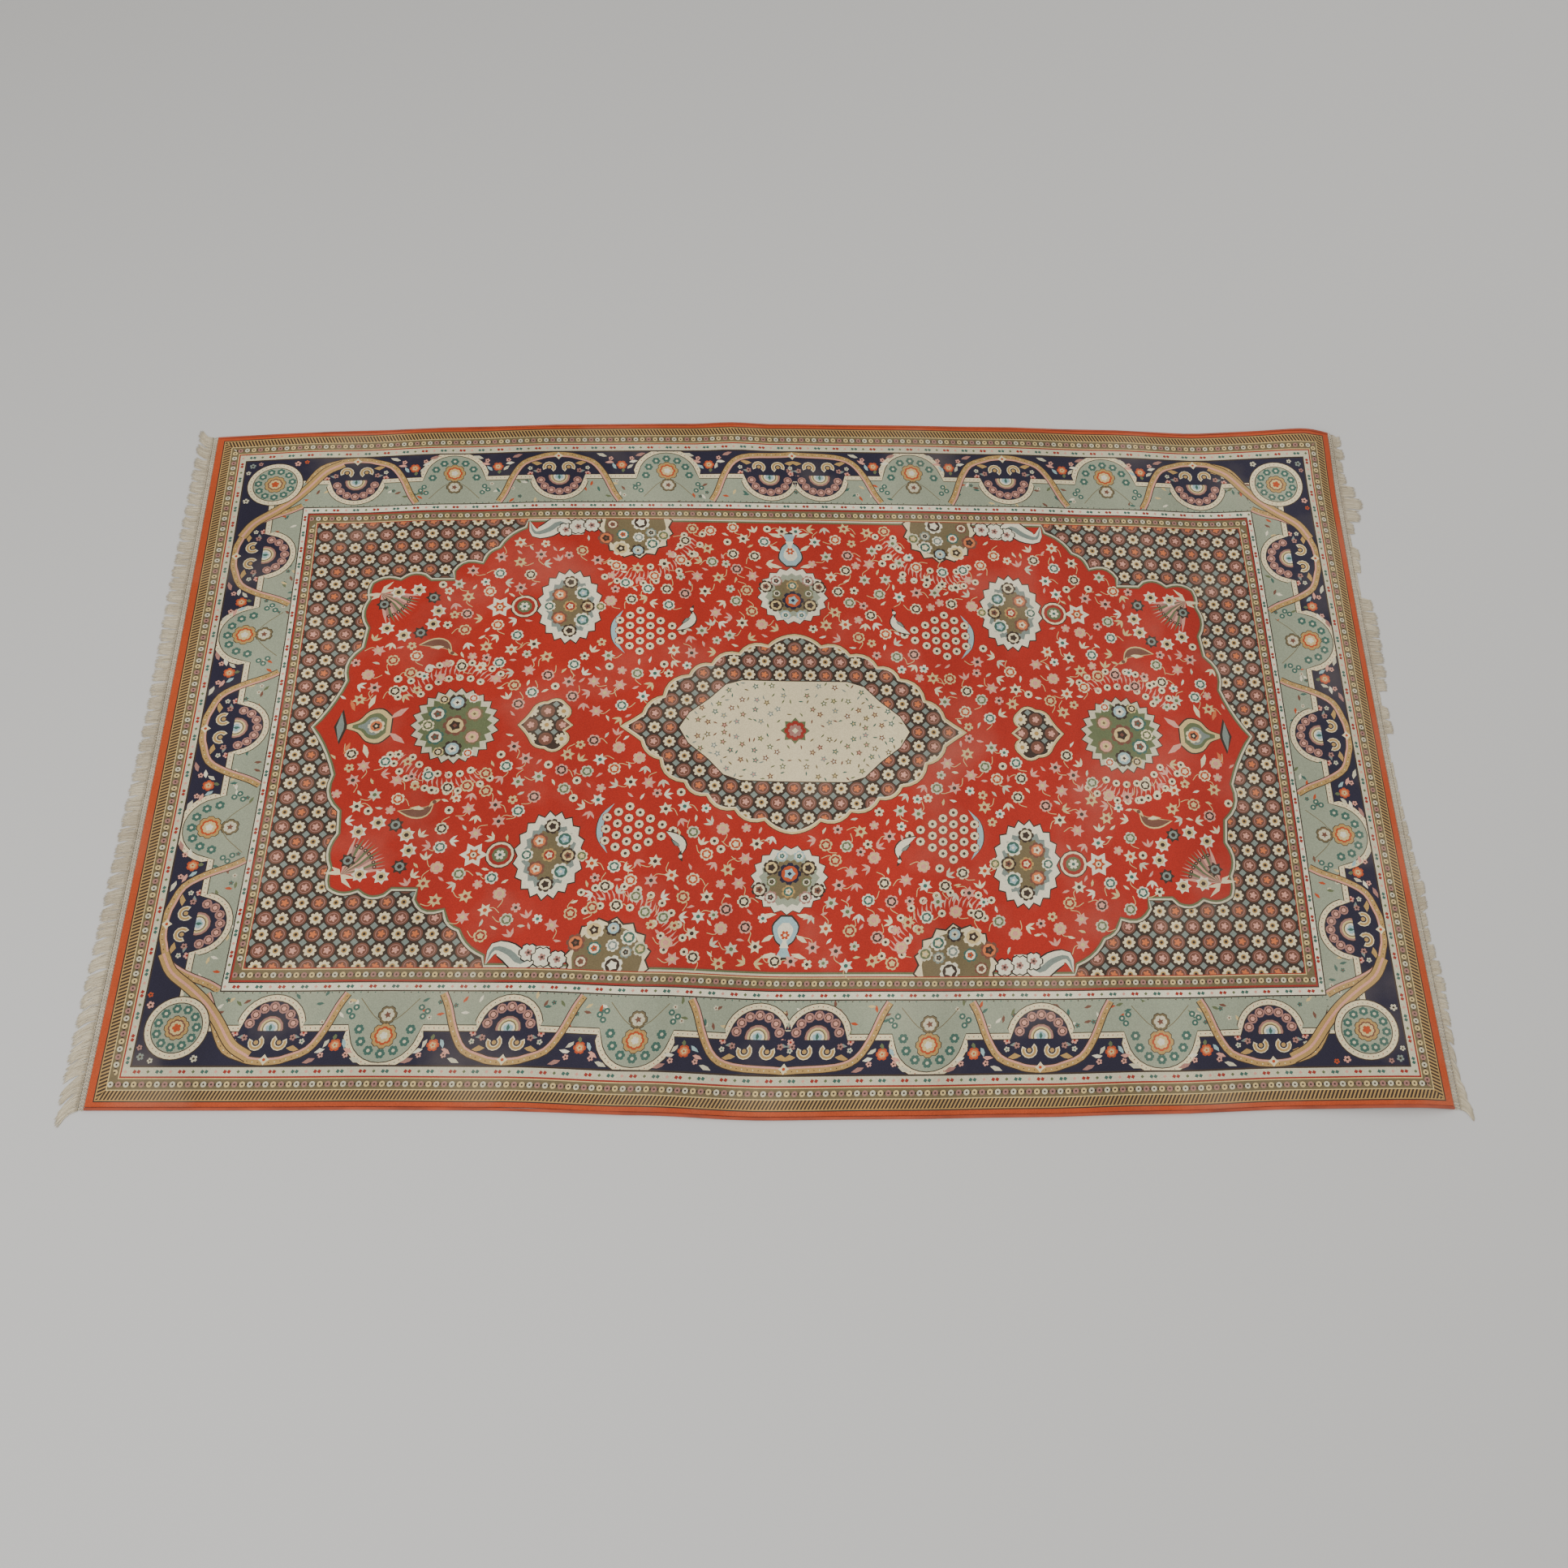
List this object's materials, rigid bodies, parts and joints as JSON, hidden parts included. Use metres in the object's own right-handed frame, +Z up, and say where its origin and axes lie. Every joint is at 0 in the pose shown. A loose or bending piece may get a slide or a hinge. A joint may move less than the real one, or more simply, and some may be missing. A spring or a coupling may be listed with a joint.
{
  "type": "persian rug",
  "caption": "Rectangular knotted silk rug lying flat, with overcast long edges and a comb of fringe at each end.",
  "frame": {"origin": "middle of the underside, on the surface that the rug lies on", "axes": "+X along the rug's length, +Y across it, +Z up out of the pile"},
  "size_m": [2.1633, 1.3352, 0.0259],
  "materials": {
    "silk_pile": "short silk pile with a soft sheen",
    "selvedge_silk": "overcast silk",
    "fringe_silk": "loose knotted silk strands"
  },
  "bodies": {
    "root": {"rug_body": "silk_pile", "selvedge_far": "selvedge_silk", "selvedge_near": "selvedge_silk", "fringe_left": "fringe_silk", "fringe_right": "fringe_silk"}
  },
  "joints": []
}
